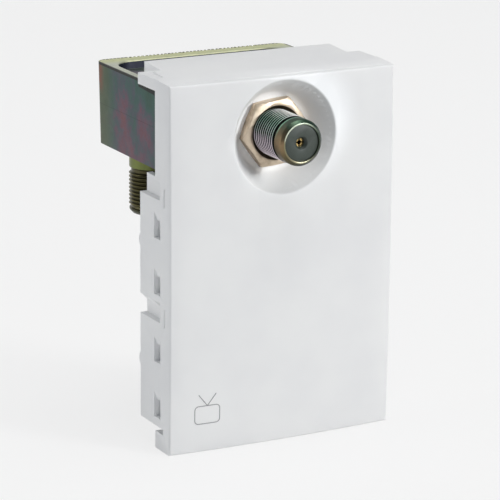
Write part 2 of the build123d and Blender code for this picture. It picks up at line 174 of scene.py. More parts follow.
select_edges(rim_tool, on_rim)
bpy.ops.mesh.bevel(offset=RIM_ROUND, segments=6, affect="EDGES")
bpy.ops.object.mode_set(mode="OBJECT")
# It follows the bowed face, and widens with the dish's cone where the face stands further out
for point in rim_tool.data.vertices:
    fall = face_fall(point.co.x, point.co.z)
    scale_round_dish(point, 1 + DISH_WALL_SLOPE * (RIM_PLANE - fall) / from_dish_axis(point.co))
    point.co.y += FACE_FRONT + fall
carve(cover, rim_tool)
break_edges(cover, EDGE_BREAK)
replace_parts(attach(cover, "root"), "front_cover")


def linear(red, green, blue):
    """A colour that is written as it looks on a screen, from 0 to 255, as light."""
    parts = [part / 255 for part in (red, green, blue)]
    return (*[part / 12.92 if part <= 0.04045 else ((part + 0.055) / 1.055) ** 2.4 for part in parts], 1)


class Signal:
    """One output in a material's node tree. Arithmetic on it adds Math nodes to the tree."""

    def __init__(self, tree, socket):
        self.tree = tree
        self.socket = socket

    def node(self, kind, settings, inputs, output):
        """Add any node: its settings first, then its sockets by their identifiers."""
        made = self.tree.nodes.new(kind)
        for name, value in settings.items():
            if name != "stops":
                setattr(made, name, value)
        if "stops" in settings:
            stops = made.color_ramp.elements
            while len(stops) < len(settings["stops"]):
                stops.new(0.5)
            for stop, (place, colour) in zip(stops, settings["stops"]):
                stop.position = place
                stop.color = colour
        sockets = {socket.identifier: socket for socket in made.inputs}
        for name, value in inputs.items():
            if isinstance(value, Signal):
                self.tree.links.new(value.socket, sockets[name])
            else:
                sockets[name].default_value = value
        outputs = {socket.identifier: socket for socket in made.outputs}
        return Signal(self.tree, outputs[output])

    def maths(self, operation, *values):
        """A Math node on these values, or on this one alone."""
        inputs = dict(zip(("Value", "Value_001", "Value_002"), values or (self,)))
        return self.node("ShaderNodeMath", {"operation": operation}, inputs, "Value")

    def __add__(self, other):
        return self.maths("ADD", self, other)

    def __radd__(self, other):
        return self.maths("ADD", other, self)

    def __sub__(self, other):
        return self.maths("SUBTRACT", self, other)

    def __rsub__(self, other):
        return self.maths("SUBTRACT", other, self)

    def __mul__(self, other):
        return self.maths("MULTIPLY", self, other)

    def __rmul__(self, other):
        return self.maths("MULTIPLY", other, self)

    def __pow__(self, other):
        return self.maths("POWER", self, other)

    def __abs__(self):
        return self.maths("ABSOLUTE", self)

    def vector_maths(self, operation, vector):
        """A Vector Math node on this place and a fixed vector."""
        inputs = {"Vector": self, "Vector_001": vector}
        return self.node("ShaderNodeVectorMath", {"operation": operation}, inputs, "Vector")

    def axis(self, letter):
        """The X, Y or Z part of a place."""
        return self.node("ShaderNodeSeparateXYZ", {}, {"Vector": self}, letter)

    def noise(self, size, detail=3.0, roughness=0.5, distortion=0.0):
        """Cloudy noise on this place, with blotches of about this size in metres."""
        inputs = {
            "Vector": self,
            "Scale": 1 / size,
            "Detail": detail,
            "Roughness": roughness,
            "Distortion": distortion,
        }
        return self.node("ShaderNodeTexNoise", {}, inputs, "Fac")

    def waves(self, length):
        """A sine wave along this value, from -1 to 1, that repeats at this length."""
        return (self * (tau / length)).maths("SINE")

    def rise(self, start, end):
        """0 below the start, 1 above the end, and smooth between them."""
        inputs = {"Value": self, "From Min": start, "From Max": end}
        return self.node("ShaderNodeMapRange", {"interpolation_type": "SMOOTHSTEP"}, inputs, "Result")

    def fall(self, start, end):
        """1 below the start, 0 above the end, and smooth between them."""
        return 1 - self.rise(start, end)

    def mix(self, low, high):
        """The colour between two signals or screen colours. This value is the second's share."""
        low, high = (colour if isinstance(colour, Signal) else linear(*colour) for colour in (low, high))
        inputs = {"Factor_Float": self, "A_Color": low, "B_Color": high}
        return self.node("ShaderNodeMix", {"data_type": "RGBA"}, inputs, "Result_Color")

    def ramp(self, *stops):
        """A colour that changes along this value, from (place, colour) pairs."""
        settings = {"stops": [(place, linear(*colour)) for place, colour in stops]}
        return self.node("ShaderNodeValToRGB", settings, {"Fac": self}, "Color")

    def bump(self, height, strength):
        """A surface normal with this value as its height, in metres when the value runs from 0 to 1."""
        inputs = {"Height": self, "Distance": height, "Strength": strength}
        return self.node("ShaderNodeBump", {}, inputs, "Normal")


def finish(name, **fixed):
    """A new material, its shader's fixed values set, and the place on the object to draw patterns on."""
    material = bpy.data.materials.new(name)
    material.use_nodes = True
    tree = material.node_tree
    shader = tree.nodes["Principled BSDF"]
    for socket, value in fixed.items():
        shader.inputs[socket.replace("_", " ")].default_value = value
    place = Signal(tree, tree.nodes.new("ShaderNodeTexCoord").outputs["Object"])
    return material, shader, place


def drive(shader, signal, socket):
    """Lead a varying value or colour to one of the shader's sockets."""
    signal.tree.links.new(signal.socket, shader.inputs[socket])


def moulded_white():
    """White thermoplastic: an even skin with faint flow clouds and a fine spark-eroded grain."""
    material, shader, place = finish("moulded_white", IOR=1.49)
    clouds = place.noise(14 * MM, detail=2)
    grain = place.noise(0.12 * MM, detail=2)
    drive(shader, clouds.rise(0.3, 0.75).mix(COVER_WHITE, COVER_SHADE), "Base Color")
    drive(shader, 0.44 + 0.10 * clouds + 0.06 * grain, "Roughness")
    drive(shader, grain.bump(0.004 * MM, 0.35), "Normal")
    return material


cover.data.materials.append(moulded_white())

# Face mark: a thin grey line drawing of a screen with two aerials, pad-printed in the face's lower
# left corner. Its lines are flat ribbons pressed onto the bowed face.
MARK_MIDDLE = Vector((-16.9 * MM, 0, -29.7 * MM))
MARK_WIDTH = 5.6 * MM
MARK_HEIGHT = 3.9 * MM
MARK_CORNER = 0.9 * MM
MARK_LINE = 0.17 * MM
MARK_PROUD = 0.02 * MM
AERIAL_RISE = 2.4 * MM
AERIAL_SPREAD = 1.9 * MM
MARK_GREY = (150, 150, 152)
WORN_GREY = (168, 168, 170)


def join(pieces, target):
    """Join pieces into one of them."""
    pick(target)
    for piece in pieces:
        piece.select_set(True)
    bpy.ops.object.join()


bpy.ops.mesh.primitive_plane_add(size=1, location=MARK_MIDDLE, rotation=UPRIGHT)
mark = bpy.context.object
mark.name = "face_mark"
mark.scale = (MARK_WIDTH, MARK_HEIGHT, 1)
bpy.ops.object.transform_apply(location=True, rotation=True, scale=True)
bpy.ops.object.mode_set(mode="EDIT")
bpy.ops.mesh.select_all(action="SELECT")
bpy.ops.mesh.bevel(offset=MARK_CORNER, segments=6, affect="VERTICES")
bpy.ops.mesh.select_all(action="SELECT")
bpy.ops.mesh.inset(thickness=MARK_LINE)
bpy.ops.mesh.delete(type="FACE")
bpy.ops.object.mode_set(mode="OBJECT")
ribbons = [mark]
for side in (-1, 1):
    foot = MARK_MIDDLE + Vector((0, 0, MARK_HEIGHT / 2 - MARK_LINE / 2))
    tip = foot + Vector((side * AERIAL_SPREAD, 0, AERIAL_RISE))
    lean = side * atan2(AERIAL_SPREAD, AERIAL_RISE)
    bpy.ops.mesh.primitive_plane_add(size=1, location=(foot + tip) / 2, rotation=(radians(90), lean, 0))
    aerial = bpy.context.object
    aerial.scale = (MARK_LINE, (tip - foot).length, 1)
    bpy.ops.object.transform_apply(location=True, rotation=True, scale=True)
    ribbons.append(aerial)
join(ribbons, mark)
bpy.ops.object.mode_set(mode="EDIT")
bpy.ops.mesh.select_all(action="SELECT")
bpy.ops.mesh.subdivide(number_cuts=3)
bpy.ops.object.mode_set(mode="OBJECT")
for point in mark.data.vertices:
    point.co.y = FACE_FRONT + face_fall(point.co.x, point.co.z) - MARK_PROUD
finish_step(mark, "SOLIDIFY", thickness=2 * MARK_PROUD, offset=0)
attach(mark, "root")


def printed_grey():
    """Pad-printed ink: matt grey, a little uneven where the film is thin."""
    material, shader, place = finish("printed_grey")
    wear = place.noise(0.5 * MM, detail=2).rise(0.25, 0.8)
    drive(shader, wear.mix(MARK_GREY, WORN_GREY), "Base Color")
    drive(shader, 0.55 + 0.15 * wear, "Roughness")
    return material


mark.data.materials.append(printed_grey())

# Lock nut: a thin turned brass hexagon, nickel plated, which screws onto the housing's front barrel
# and clamps the cover to the box. Its corners are chamfered and its mouth is countersunk.
NUT_BREAK = 0.07 * MM
NUT_FRONT = -3.75 * MM
COUNTERSINK_EDGE = 6.1 * MM
COUNTERSINK_RADIUS = 5.5 * MM
LATHE_FEED = 0.11 * MM
BORE_SHADE_FADE = 0.12 * MM
NICKEL = (214, 197, 176)
NICKEL_SHADE = (180, 164, 143)
# Painted shade for the nut's countersink
BORE_SHADE = (70, 64, 44)

nut = copy_of("lock_nut", "hexagon_lock_nut")
for point in nut.data.vertices:
    reach = from_dish_axis(point.co)
    if point.co.y < NUT_FRONT + HAIR and reach < COUNTERSINK_EDGE:
        scale_round_dish(point, COUNTERSINK_RADIUS / reach)
break_edges(nut, NUT_BREAK)
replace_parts(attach(nut, "root"), "lock_nut")


def distance(one, other):
    """How far a place lies from an axis, from its two parts across that axis."""
    return (one * one + other * other) ** 0.5


def turned_metal(name, middle, bright, dull, lustre, shaded_within):
    """Turned metal: fine rings of the lathe tool, tarnish, and painted shade round the bore."""
    material, shader, place = finish(name, Metallic=1.0)
    offset = place.vector_maths("SUBTRACT", middle)
    reach = distance(offset.axis("X"), offset.axis("Z"))
    tarnish = place.noise(2.2 * MM, detail=4).rise(0.35, 0.75)
    # Painted shade: within this reach of the middle, the countersink round the bore is painted dark olive
    bore_shade = 0.75 * reach.fall(shaded_within - BORE_SHADE_FADE, shaded_within)
    drive(shader, bore_shade.mix(tarnish.mix(bright, dull), BORE_SHADE), "Base Color")
    drive(shader, lustre + 0.16 * tarnish, "Roughness")
    drive(shader, (0.5 * reach.waves(LATHE_FEED) + 0.5).bump(0.003 * MM, 0.6), "Normal")
    return material


nut_middle = (0, 0, DISH_AXIS_HEIGHT)
nut.data.materials.append(
    turned_metal("plated_nut", nut_middle, NICKEL, NICKEL_SHADE, 0.40, COUNTERSINK_RADIUS)
)

# Housing: a box of diecast zinc under a thin chromate film, which shows green, olive and purple.
# Its three barrels are cut away here and modelled again below with their screw threads.
BOX_BREAK = 0.38 * MM
BOX_UNDERSIDE = 17.85 * MM
BOX_BACK = 34.85 * MM
BOX_TOP = 34.9 * MM
BARREL_RADIUS = 4.7625 * MM
LOWER_PORTS = (-14 * MM, 14 * MM)
PORT_DEPTH = 24.05 * MM
LOWER_BARREL_TIP = 4.55 * MM
BOSS_FACE = 0.05 * MM
FRONT_BARREL_TIP = -14.1 * MM
ROOT_CUT = 0.01 * MM
CUT_RADIUS = BARREL_RADIUS + 0.6 * MM
CUT_OVERRUN = 4 * MM

housing = copy_of("zinc_housing", "zinc_casting")


def cutter(middle, length, turn):
    """A plain cylinder that cuts a barrel away."""
    bpy.ops.mesh.primitive_cylinder_add(
        vertices=96, radius=CUT_RADIUS, depth=length, location=middle, rotation=turn
    )
    bpy.ops.object.transform_apply(location=True, rotation=True, scale=True)
    return bpy.context.object


span = BOX_UNDERSIDE - LOWER_BARREL_TIP + CUT_OVERRUN
for port in LOWER_PORTS:
    carve(housing, cutter((port, PORT_DEPTH, BOX_UNDERSIDE + ROOT_CUT - span / 2), span, (0, 0, 0)))
span = BOSS_FACE - FRONT_BARREL_TIP + CUT_OVERRUN
carve(housing, cutter((0, BOSS_FACE + ROOT_CUT - span / 2, DISH_AXIS_HEIGHT), span, UPRIGHT))
break_edges(housing, BOX_BREAK)

# Small uneven bites along the rim's rear edge, where the casting was broken off its runner
BITTEN_SPAN = (-14.2 * MM, 15.0 * MM)
BITE_PITCH = 0.84 * MM
BITE_SEED = 5
BITE_WIDTHS = (0.34, 0.56)
BITE_DEPTHS = (0.50, 0.80)
BITE_REACHES = (0.62, 0.95)
BITE_TURNS = (-0.2, 0.2)
BITE_STEPS = (0.85, 1.2)
draw = random.Random(BITE_SEED).uniform
bites = []
along, last = BITTEN_SPAN
while along < last:
    width = draw(*BITE_WIDTHS) * MM
    depth = draw(*BITE_DEPTHS) * MM
    reach = draw(*BITE_REACHES) * MM
    bpy.ops.mesh.primitive_cube_add(size=1, location=(along, BOX_BACK, BOX_TOP))
    bite = bpy.context.object
    bite.scale = (width, 2 * reach, 2 * depth)
    bite.rotation_euler = (0, 0, draw(*BITE_TURNS))
    bpy.ops.object.transform_apply(location=True, rotation=True, scale=True)
    bites.append(bite)
    along += BITE_PITCH * draw(*BITE_STEPS)
join(bites, bites[-1])
carve(housing, bites[-1])
pick(housing)
bpy.ops.object.shade_smooth_by_angle(angle=SMOOTH_ANGLE)
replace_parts(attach(housing, "root"), "zinc_housing")

# Each span of the film runs from where a change starts to where it is full
WALL_FRONT = (4 * MM, 15 * MM)
WALL_REAR = (20 * MM, 30 * MM)
WALL_TOP = (27 * MM, 35 * MM)
OLIVE_DEPTH = (24.5 * MM, 31.5 * MM)
RUST_DEPTH = (30.0 * MM, 32.8 * MM)
RUST_HEIGHT = (27.5 * MM, 31.5 * MM)
RUST_SIDE = (15 * MM, 21 * MM)
GREEN_DEPTH = (4.0 * MM, 8.5 * MM)
RECESS_SIDE = (20.3 * MM, 20.5 * MM)
RECESS_FRONT = (1.9 * MM, 2.1 * MM)
RECESS_REAR = (31.5 * MM, 31.7 * MM)
RECESS_FLOOR = (33.0 * MM, 33.3 * MM)
RIM_SHEEN_DEPTH = (29 * MM, 33 * MM)
RIM_TOP = (34.62 * MM, 34.70 * MM)
RIM_EDGE = (34.40 * MM, 34.48 * MM)
RIM_REAR = (34.15 * MM, 34.25 * MM)
RIM_SIDE = (21.40 * MM, 21.48 * MM)
LEDGE_END = (14.0 * MM, 14.4 * MM)
LEDGE_SHADOW_HEIGHT = (32.45 * MM, 32.60 * MM)
LEDGE_SHADOW_SLOPE = 0.06
PARTING_HEIGHT = 26.4 * MM
PARTING_WIDTH = (0.03 * MM, 0.10 * MM)
FILM = (
    (0.32, (40, 70, 58)),
    (0.43, (48, 80, 74)),
    (0.52, (66, 74, 82)),
    (0.61, (94, 68, 82)),
    (0.72, (110, 68, 72)),
    (0.85, (94, 60, 56)),
)
OLIVE = (84, 90, 60)
RUST = (130, 72, 58)
EDGE_GREEN = (46, 80, 66)
RECESS_SHADE_NAVY = (34, 38, 52)
RIM_SHEEN_GREY = (196, 198, 184)
RIM_SHEEN_YELLOW = (206, 208, 158)
RIM_SHEEN_MOTTLE = (140, 148, 116)
EDGE_SHADE_BLACK = (26, 28, 22)
LEDGE_SHADOW_BLACK = (22, 24, 22)
PARTING_BLACK = (24, 30, 30)


def box_chromate():
    """Chromate film on diecast zinc: clouds of teal, grey and purple, with olive and rust at the rear."""
    material, shader, place = finish("box_chromate", Metallic=0.6)
    drawn_out = place.vector_maths("MULTIPLY", (1, 1, 0.8))
    clouds = drawn_out.noise(6.5 * MM, detail=4, roughness=0.6, distortion=0.3)
    fine = place.noise(1.3 * MM, detail=5, roughness=0.65)
    across, depth, height = (place.axis(letter) for letter in "XYZ")
    side = abs(across)
    # Purple gathers in the middle of each wall, and teal at its edges
    middle = depth.rise(*WALL_FRONT) * depth.fall(*WALL_REAR) * height.fall(*WALL_TOP)
    film = (0.7 * clouds + 0.3 * fine + 0.10 * middle - 0.05).ramp(*FILM)
    # The rear corner, where the castings hung in the bath, is olive with a spot of rust
    olive = depth.rise(*OLIVE_DEPTH) * (0.4 + 0.6 * clouds)
    rust = depth.rise(*RUST_DEPTH) * height.rise(*RUST_HEIGHT) * fine.rise(0.25, 0.6)
    film = olive.mix(film, OLIVE)
    film = (0.8 * (rust * side.rise(*RUST_SIDE))).mix(film, RUST)
    # A thin green edge next to the cover
    film = depth.fall(*GREEN_DEPTH).mix(film, EDGE_GREEN)
    # Painted shade: the inner walls of the recess for the lid are painted dark navy
    recess = side.fall(*RECESS_SIDE) * depth.rise(*RECESS_FRONT)
    recess = recess * depth.fall(*RECESS_REAR) * height.rise(*RECESS_FLOOR)
    film = recess.mix(film, RECESS_SHADE_NAVY)
    # Painted sheen: the flat top of the rim is painted light where it catches the lamps, grey-white at
    # the sides and yellow-green at the rear
    rim_sheen = depth.rise(*RIM_SHEEN_DEPTH).mix(RIM_SHEEN_GREY, RIM_SHEEN_YELLOW)
    rim_sheen = (0.5 * fine).mix(rim_sheen, RIM_SHEEN_MOTTLE)
    film = height.rise(*RIM_TOP).mix(film, rim_sheen)
    # Painted shade: the rim's rounded outer edges are painted black, along the sides and in dashes along
    # the rear. Painted shadow: the strip of wall under the cover's ledge is painted black
    rear = depth.rise(*RIM_REAR) * across.waves(BITE_PITCH).rise(-0.7, -0.3)
    edge = rear.maths("MAXIMUM", rear, side.rise(*RIM_SIDE))
    # Painted shadow of the cover's ledge: a black band along the top of the wall at the front
    ledge_shadow = depth.fall(*LEDGE_END) * (height - LEDGE_SHADOW_SLOPE * depth).rise(*LEDGE_SHADOW_HEIGHT)
    # Painted shade along the rim's rounded outer edges
    film = (edge * height.rise(*RIM_EDGE)).mix(film, EDGE_SHADE_BLACK)
    film = ledge_shadow.mix(film, LEDGE_SHADOW_BLACK)
    # The line where the two halves of the die met
    off_line = abs(height - PARTING_HEIGHT).rise(*PARTING_WIDTH)
    film = (0.4 * (1 - off_line)).mix(film, PARTING_BLACK)
    drive(shader, film, "Base Color")
    drive(shader, 0.36 + 0.24 * fine, "Roughness")
    skin = 0.6 * place.noise(0.3 * MM, detail=3) + 0.4 * fine + 0.6 * off_line
    drive(shader, skin.bump(0.012 * MM, 0.5), "Normal")
    return material


housing.data.materials.append(box_chromate())

# Three coaxial barrels, cast with the box and then cut with a fine 32-per-inch screw thread. Each
# keeps a plain collar at its mouth and a plain root, and the thread runs out at both.
INCH = 25.4 * MM
PITCH = INCH / 32
THREAD_DEPTH = 0.46 * MM
THREAD_SINK = 0.03 * MM
THREAD_RUNOUT = 0.9 * PITCH
THREAD_STEPS = 72
THREAD_SMOOTH_ANGLE = radians(28)
LATHE_STEPS = 120
CREST_FLAT = 0.07 * MM
CORE_RADIUS = BARREL_RADIUS - THREAD_DEPTH
COLLAR_RADIUS = 4.6825 * MM
ROOT_RADIUS = 4.7 * MM
MOUTH_CHAMFER = 0.7 * MM
BORE_LEAD = 0.16 * MM
PLUG_RADIUS = 3.72 * MM
PLUG_SEAT = 10.85 * MM
CONTACT_HOLE = 1.22 * MM
# A barrel's whole length, its collar's and its root's
FRONT_LENGTHS = (BOSS_FACE - FRONT_BARREL_TIP, 3.0 * MM, 1.9 * MM)
LOWER_LENGTHS = (BOX_UNDERSIDE - LOWER_BARREL_TIP, 1.1 * MM, 3.6 * MM)


def outline_loop(name, points):
    """A closed loop of edges in the XZ plane, from (radius, height) pairs."""
    bpy.ops.mesh.primitive_circle_add(vertices=len(points))
    loop = bpy.context.object
    loop.name = name
    for point, (radius, height) in zip(loop.data.vertices, points):
        point.co = (radius, 0, height)
    return loop


def outward(piece):
    """Merge doubled points and turn every face outwards."""
    pick(piece)
    bpy.ops.object.mode_set(mode="EDIT")
    bpy.ops.mesh.select_all(action="SELECT")
    bpy.ops.mesh.remove_doubles(threshold=0.0005 * MM)
    bpy.ops.mesh.normals_make_consistent(inside=False)
    bpy.ops.object.mode_set(mode="OBJECT")


def lathe(name, points):
    """Turn a closed profile round the Z axis."""
    piece = outline_loop(name, points)
    finish_step(
        piece,
        "SCREW",
        angle=tau,
        steps=LATHE_STEPS,
        render_steps=LATHE_STEPS,
        use_merge_vertices=True,
        merge_threshold=0.001 * MM,
    )
    outward(piece)
    return piece


def screw_thread(start, end):
    """A helical ridge round the Z axis, sunk a little into its core and run out at both ends."""
    sunk = CORE_RADIUS - THREAD_SINK
    flank = (PITCH - CREST_FLAT) / 2 - THREAD_SINK
    section = [
        (sunk, -flank - CREST_FLAT / 2),
        (BARREL_RADIUS, -CREST_FLAT / 2),
        (BARREL_RADIUS, CREST_FLAT / 2),
        (sunk, flank + CREST_FLAT / 2),
    ]
    ridge = outline_loop("thread_ridge", section)
    turns = int((end - start) / PITCH) - 1
    finish_step(
        ridge,
        "SCREW",
        angle=tau,
        screw_offset=PITCH,
        iterations=turns,
        steps=THREAD_STEPS,
        render_steps=THREAD_STEPS,
    )
    pick(ridge)
    bpy.ops.object.mode_set(mode="EDIT")
    bpy.ops.mesh.select_all(action="SELECT")
    bpy.ops.mesh.fill_holes(sides=0)
    bpy.ops.mesh.normals_make_consistent(inside=False)
    bpy.ops.transform.translate(value=(0, 0, start + PITCH / 2))
    bpy.ops.object.mode_set(mode="OBJECT")
    length = turns * PITCH
    for point in ridge.data.vertices:
        along = point.co.z - start
        fade = min(1, max(0, along / THREAD_RUNOUT), max(0, (length + PITCH - along) / THREAD_RUNOUT))
        reach = Vector((point.co.x, point.co.y)).length
        keep = (sunk + (reach - sunk) * fade) / reach
        point.co.x *= keep
        point.co.y *= keep
    return ridge


def threaded_barrel(name, length, collar, root_length):
    """One barrel with its mouth at the origin, its collar and thread above it, and its root on top."""
    root = length - root_length
    profile = [
        (CONTACT_HOLE, length),
        (CONTACT_HOLE, PLUG_SEAT),
        (PLUG_RADIUS, PLUG_SEAT),
        (PLUG_RADIUS, BORE_LEAD),
        (PLUG_RADIUS + 0.05 * MM, 0.05 * MM),
        (PLUG_RADIUS + BORE_LEAD, 0),
        (COLLAR_RADIUS - MOUTH_CHAMFER - 0.03 * MM, 0),
        (COLLAR_RADIUS - MOUTH_CHAMFER + 0.08 * MM, 0.03 * MM),
        (COLLAR_RADIUS - 0.14 * MM, MOUTH_CHAMFER - 0.16 * MM),
        (COLLAR_RADIUS - 0.03 * MM, MOUTH_CHAMFER),
        (COLLAR_RADIUS, MOUTH_CHAMFER + 0.15 * MM),
        (COLLAR_RADIUS, collar - 0.12 * MM),
        (COLLAR_RADIUS - 0.05 * MM, collar - 0.03 * MM),
        (CORE_RADIUS + 0.02 * MM, collar + 0.12 * MM),
        (CORE_RADIUS, collar + 0.2 * MM),
        (CORE_RADIUS, root - 0.3 * MM),
        (ROOT_RADIUS - 0.06 * MM, root - 0.04 * MM),
        (ROOT_RADIUS, root + 0.06 * MM),
        (ROOT_RADIUS, length),
    ]
    body = lathe(name, profile)
    ridge = screw_thread(collar + 0.15 * MM, root)
    finish_step(body, "BOOLEAN", operation="UNION", solver="EXACT", object=ridge)
    bpy.data.objects.remove(ridge)
    outward(body)
    bpy.ops.object.shade_smooth_by_angle(angle=THREAD_SMOOTH_ANGLE)
    return body


def twin(piece, name):
    """A copy of a piece with a mesh of its own."""
    other = piece.copy()
    other.data = piece.data.copy()
    other.name = name
    bpy.context.scene.collection.objects.link(other)
    return other


front_mouth = (0, FRONT_BARREL_TIP, DISH_AXIS_HEIGHT)
lower_mouths = [(port, PORT_DEPTH, LOWER_BARREL_TIP) for port in LOWER_PORTS]
front_barrel = threaded_barrel("front_barrel", *FRONT_LENGTHS)
front_barrel.data.transform(Matrix.Translation(front_mouth) @ Matrix.Rotation(radians(-90), 4, "X"))
left_barrel = threaded_barrel("left_barrel", *LOWER_LENGTHS)
right_barrel = twin(left_barrel, "right_barrel")
for barrel, mouth in zip((left_barrel, right_barrel), lower_mouths):
    barrel.data.transform(Matrix.Translation(mouth))
for barrel in (front_barrel, left_barrel, right_barrel):
    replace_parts(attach(barrel, "root"), "zinc_housing")

# Round a barrel the colours run from its left over the top or the back to its right, and on round
FRONT_COLOURS = {
    # Painted shade in the thread's grooves
    "groove_shade": (20, 22, 18),
    "root": (60, 60, 50),
    # The thread is tinted purple and green at its left, with painted highlight, near white, from its top
    # to its right, and greyer underneath
    "thread": (
        (0.00, (226, 214, 224)),
        (0.06, (206, 222, 212)),
        (0.14, (190, 232, 206)),
        (0.24, (244, 244, 240)),
        (0.50, (244, 240, 230)),
        (0.75, (190, 186, 176)),
        (0.90, (208, 196, 206)),
        (1.00, (226, 214, 224)),
    ),
    "collar": (
        (0.00, (142, 120, 90)),
        (0.07, (118, 104, 80)),
        (0.15, (76, 92, 76)),
        (0.30, (60, 84, 68)),
        (0.45, (44, 56, 48)),
        (0.60, (40, 45, 40)),
        (0.80, (62, 62, 44)),
        (0.90, (96, 86, 62)),
        (1.00, (142, 120, 90)),
    ),
    # Painted highlight on the ring round the plug at its upper left and top, and painted shade at its
    # right
    "ring": (
        (0.00, (130, 126, 96)),
        (0.10, (206, 210, 190)),
        (0.26, (176, 186, 166)),
        (0.42, (70, 80, 70)),
        (0.62, (66, 72, 60)),
        (0.75, (150, 146, 122)),
        (0.88, (130, 122, 96)),
        (1.00, (130, 126, 96)),
    ),
}
LOWER_COLLAR = ((0.0, (66, 66, 48)), (0.5, (54, 64, 58)), (1.0, (66, 66, 48)))
LOWER_COLOURS = {
    "groove_shade": (74, 70, 46),
    "root": (106, 114, 66),
    "thread": ((0.0, (118, 110, 70)), (0.3, (104, 98, 62)), (0.6, (84, 94, 78)), (1.0, (118, 110, 70))),
    "collar": LOWER_COLLAR,
    "ring": LOWER_COLLAR,
}
MINT = (150, 206, 176)


def barrel_chromate(name, mouth, length_axis, lengths, colours):
    """The film on a threaded barrel: painted shade in the grooves, and coloured by the turn round the
    axis.
    """
    material, shader, place = finish(name, Metallic=0.85)
    length, collar_length, root_length = lengths
    root = length - root_length
    offset = place.vector_maths("SUBTRACT", mouth)
    across = offset.axis("X")
    other = offset.axis("Z" if length_axis == "Y" else "Y")
    along = offset.axis(length_axis)
    reach = distance(across, other)
    blotch = place.noise(1.5 * MM, detail=3, distortion=0.4)
    turn = 0.5 - other.maths("ARCTAN2", other, across) * (1 / tau)
    turn = turn + 0.10 * (blotch - 0.5)
    # Below the crest the thread is painted dark as shade
    crest = reach.rise(BARREL_RADIUS - 0.13 * MM, BARREL_RADIUS - 0.05 * MM)
    thread = crest.mix(colours["groove_shade"], turn.ramp(*colours["thread"]))
    thread = along.rise(root - 0.1 * MM, root + 0.1 * MM).mix(thread, colours["root"])
    # The collar is mint next to the thread, from its left to its top or back, and the ring round the plug
    # takes colours of its own: on the front barrel these are painted highlight at its upper left and top,
    # and painted shade at its right
    collar = turn.ramp(*colours["collar"])
    mint = along.rise(collar_length - 0.7 * MM, collar_length - 0.4 * MM) * turn.rise(0.02, 0.12)
    collar = (0.7 * mint * turn.fall(0.30, 0.42)).mix(collar, MINT)
    ring_mask = reach.fall(PLUG_RADIUS + 0.26 * MM, PLUG_RADIUS + 0.40 * MM)
    collar = ring_mask.mix(collar, turn.ramp(*colours["ring"]))
    plain = along.fall(collar_length - 0.08 * MM, collar_length)
    drive(shader, plain.mix(thread, collar), "Base Color")
    drive(shader, 0.24 + 0.2 * blotch, "Roughness")
    drive(shader, place.noise(0.2 * MM, detail=2).bump(0.004 * MM, 0.5), "Normal")
    return material


front_film = barrel_chromate("front_chromate", front_mouth, "Y", FRONT_LENGTHS, FRONT_COLOURS)
front_barrel.data.materials.append(front_film)
for barrel, mouth in zip((left_barrel, right_barrel), lower_mouths):
    film = barrel_chromate(f"{barrel.name}_chromate", mouth, "Z", LOWER_LENGTHS, LOWER_COLOURS)
    barrel.data.materials.append(film)

# Insulating plugs: slate-grey plastic turned to fit the barrels, each with a funnel in its face
# that leads a cable's centre wire to the contact behind it.
PLUG_BREAK = 0.08 * MM
SLATE = (55, 62, 56)
SLATE_SHADE = (47, 53, 47)


def slate_plastic():
    """Grey filled plastic, smooth and slightly waxy."""
    material, shader, place = finish("slate_plastic", IOR=1.46)
    clouds = place.noise(1.8 * MM, detail=3)
    drive(shader, clouds.rise(0.3, 0.7).mix(SLATE, SLATE_SHADE), "Base Color")
    drive(shader, 0.38 + 0.16 * clouds, "Roughness")
    drive(shader, place.noise(0.15 * MM, detail=2).bump(0.003 * MM, 0.4), "Normal")
    return material


slate = slate_plastic()
for side in ("front", "left", "right"):
    plug = copy_of(f"{side}_insulator", f"{side}_plug")
    break_edges(plug, PLUG_BREAK)
    plug.data.materials.append(slate)
    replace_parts(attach(plug, "root"), f"{side}_insulator")

# Lid: a stamped sheet of tinned steel with a faint purple and green tint. It is pressed into the
# recess in the top of the box.
LID_BREAK = 0.18 * MM
LID_TINT = ((0.3, (116, 122, 118)), (0.5, (124, 116, 128)), (0.7, (106, 118, 108)))

lid = copy_of("housing_lid", "stamped_lid")
break_edges(lid, LID_BREAK)
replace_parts(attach(lid, "root"), "housing_lid")


def tinplate():
    """Dull tinned steel with a long rolled grain and a faint purple and green tint."""
    material, shader, place = finish("tinplate", Metallic=0.8)
    rolled = place.vector_maths("MULTIPLY", (0.05, 1, 1)).noise(0.3 * MM, detail=3)
    tint = place.noise(7 * MM, detail=3, distortion=0.6)
    drive(shader, tint.ramp(*LID_TINT), "Base Color")
    drive(shader, 0.36 + 0.18 * rolled, "Roughness")
    drive(shader, rolled.bump(0.006 * MM, 0.5), "Normal")
    return material


lid.data.materials.append(tinplate())

# Spring contacts: drawn bronze tubes, slit at the mouth to grip a cable's centre wire. Each sits
# in its plug, with a tail that is soldered to the circuit board.
BRONZE = (196, 170, 112)
BRONZE_SHADE = (160, 132, 84)
UNSHADED_BORE = 0


def finish_node(node, material):
    """Give a CAD node that keeps its own mesh its finish."""
    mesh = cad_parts[node].data
    mesh.materials.clear()
    mesh.materials.append(material)


contact_bronze = turned_metal("drawn_bronze", nut_middle, BRONZE, BRONZE_SHADE, 0.26, UNSHADED_BORE)
for side in ("front", "left", "right"):
    finish_node(f"{side}_contact", contact_bronze)

# Circuit board: glass-fibre laminate that stands on four cast posts inside the box. Copper tracks
# under its green solder mask join the contacts to the cores, the windings and the chip parts.
TRACK_LENGTHS = (3.4 * MM, 5.2 * MM)
WEAVE_LENGTH = 0.5 * MM
MASK_GREEN = (26, 78, 48)
TRACK_GREEN = (44, 110, 66)


